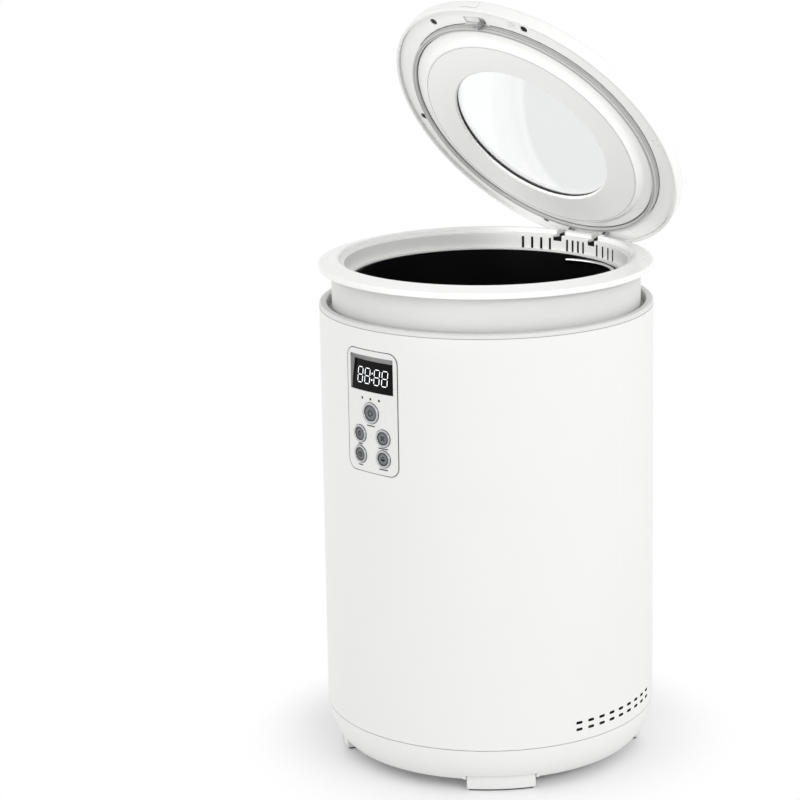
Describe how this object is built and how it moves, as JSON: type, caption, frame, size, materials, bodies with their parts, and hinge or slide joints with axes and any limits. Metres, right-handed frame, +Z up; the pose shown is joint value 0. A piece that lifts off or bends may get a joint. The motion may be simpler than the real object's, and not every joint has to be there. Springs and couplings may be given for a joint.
{
  "type": "electric food waste composter",
  "caption": "Round countertop food waste composter with a hinged see-through lid, lift-out stirred bucket, key panel with display, side vents and rounded base on feet",
  "frame": {"origin": "on the floor, on the axis of the round body, between the four feet", "axes": "+Z up, the control panel faces -Y, the lid's hinge is at +Y, +X is the right-hand side when the panel is looked at"},
  "size_m": [0.2928, 0.308, 0.661],
  "materials": {
    "body_white": "satin",
    "collar_white": "semi-gloss",
    "grey_white": "satin",
    "foot_white": "satin",
    "pad_rubber": "matt",
    "bezel_white": "semi-gloss",
    "display_black": "glossy",
    "lamp_lens": "glossy",
    "ring_metal": "satin",
    "key_grey": "satin metallic",
    "board_green": "matt",
    "bucket_black": "non-stick coated",
    "stir_metal": "coated",
    "steel": "bright",
    "galvanised": "zinc plated",
    "cast_plate": "as cast",
    "seal_grey": "matt",
    "bumper_white": "matt",
    "clear_glass": "clear",
    "grip_black": "satin",
    "inner_black": "matt",
    "blanket_felt": "felt",
    "motor_steel": "plated",
    "latch_white": "semi-gloss"
  },
  "bodies": {
    "housing": {"base_tray": "body_white", "feet": "foot_white", "foot_pads": "pad_rubber", "outer_sleeve": "body_white", "trim_ring": "collar_white", "neck_housing": "grey_white", "collar_ring": "collar_white", "liner": "grey_white", "well_sleeve": "cast_plate", "well_pan": "galvanised", "heater_plate": "cast_plate", "insulation_blanket": "blanket_felt", "exhaust_duct": "inner_black", "blower_housing": "inner_black", "carbon_filter": "inner_black", "filter_cover": "foot_white", "power_inlet": "inner_black", "chassis_plate": "galvanised", "gearbox_case": "cast_plate", "gearbox_cover": "cast_plate", "motor": "motor_steel", "cooling_fan_frame": "inner_black", "power_board": "board_green", "control_board": "board_green", "control_panel": "bezel_white", "display_window": "display_black", "indicator_lamps": "lamp_lens", "button_rings": "ring_metal", "hinge_bracket": "grey_white", "hinge_pin": "steel", "hinge_spring": "steel", "interlock_switch": "inner_black"},
    "lid": {"lid_cover": "collar_white", "lid_underside": "grey_white", "lid_inner_panel": "grey_white", "window_gasket": "seal_grey", "lid_window": "clear_glass", "lid_seal": "seal_grey", "lid_bumper": "bumper_white", "lid_screws": "motor_steel", "hinge_arms": "steel"},
    "latch": {"latch_slider": "latch_white", "latch_hook": "steel"},
    "bucket": {"bucket": "bucket_black", "bucket_bush": "inner_black"},
    "stirrer": {"agitator": "stir_metal", "drive_spindle": "steel"},
    "bail": {"bail_handle": "steel", "bail_grip": "grip_black"},
    "output_drive": {"output_gear": "steel"},
    "idler": {"idler_gear": "steel"},
    "motor_shaft": {"motor_pinion": "steel"},
    "blower_wheel": {"blower_impeller": "inner_black"},
    "fan_wheel": {"cooling_fan_rotor": "inner_black"},
    "key_power_body": {"key_power": "key_grey"},
    "key_1_body": {"key_1": "key_grey"},
    "key_2_body": {"key_2": "key_grey"},
    "key_3_body": {"key_3": "key_grey"},
    "key_4_body": {"key_4": "key_grey"}
  },
  "joints": [
    {"name": "lid_hinge", "type": "hinge", "parent": "housing", "child": "lid", "pos_m": [0, 0.1345, 0.4252], "axis": [-1, 0, 0], "range_deg": [-52.4, 0], "stiffness_Nm_per_rad": 0.44, "springref_deg": 77.92},
    {"name": "latch_slide", "type": "slide", "parent": "lid", "child": "latch", "axis": [0, 0.6101, -0.7923], "range_m": [0, 0.0016], "stiffness_N_per_m": 900, "springref_m": -0.001},
    {"name": "bucket_lift", "type": "slide", "parent": "housing", "child": "bucket", "axis": [0, 0, 1], "range_m": [0, 0.04]},
    {"name": "bail_swing", "type": "hinge", "parent": "bucket", "child": "bail", "pos_m": [0, 0, 0.42], "axis": [0, -1, 0], "range_deg": [0, 150]},
    {"name": "stirrer_turn", "type": "hinge", "parent": "bucket", "child": "stirrer", "pos_m": [0, 0, 0.25], "axis": [0, 0, 1], "continuous": true},
    {"name": "output_turn", "type": "hinge", "parent": "housing", "child": "output_drive", "pos_m": [0, 0, 0.134], "axis": [0, 0, 1], "continuous": true},
    {"name": "idler_turn", "type": "hinge", "parent": "housing", "child": "idler", "pos_m": [0.027, -0.04677, 0.125], "axis": [0, 0, 1], "continuous": true},
    {"name": "motor_turn", "type": "hinge", "parent": "housing", "child": "motor_shaft", "pos_m": [-0.01388, -0.03189, 0.12], "axis": [0, 0, 1], "continuous": true},
    {"name": "blower_turn", "type": "hinge", "parent": "housing", "child": "blower_wheel", "pos_m": [0, 0.082, 0.18], "axis": [0, 0, 1], "continuous": true},
    {"name": "fan_turn", "type": "hinge", "parent": "housing", "child": "fan_wheel", "pos_m": [0.11493, 0.00401, 0.044], "axis": [0.9994, 0.0349, 0], "continuous": true},
    {"name": "key_power_press", "type": "slide", "parent": "housing", "child": "key_power_body", "axis": [0.014, 0.9999, 0], "range_m": [0, 0.0008], "stiffness_N_per_m": 1500, "springref_m": -0.0004},
    {"name": "key_1_press", "type": "slide", "parent": "housing", "child": "key_1_body", "axis": [0.1053, 0.9944, 0], "range_m": [0, 0.0008], "stiffness_N_per_m": 1500, "springref_m": -0.0004},
    {"name": "key_2_press", "type": "slide", "parent": "housing", "child": "key_2_body", "axis": [-0.0775, 0.997, 0], "range_m": [0, 0.0008], "stiffness_N_per_m": 1500, "springref_m": -0.0004},
    {"name": "key_3_press", "type": "slide", "parent": "housing", "child": "key_3_body", "axis": [0.1053, 0.9944, 0], "range_m": [0, 0.0008], "stiffness_N_per_m": 1500, "springref_m": -0.0004},
    {"name": "key_4_press", "type": "slide", "parent": "housing", "child": "key_4_body", "axis": [-0.0775, 0.997, 0], "range_m": [0, 0.0008], "stiffness_N_per_m": 1500, "springref_m": -0.0004}
  ],
  "couplings": [
    {"joint": "output_turn", "follows": "stirrer_turn", "ratio": 1},
    {"joint": "idler_turn", "follows": "stirrer_turn", "ratio": -2.8571},
    {"joint": "motor_turn", "follows": "stirrer_turn", "ratio": 8.9796}
  ]
}
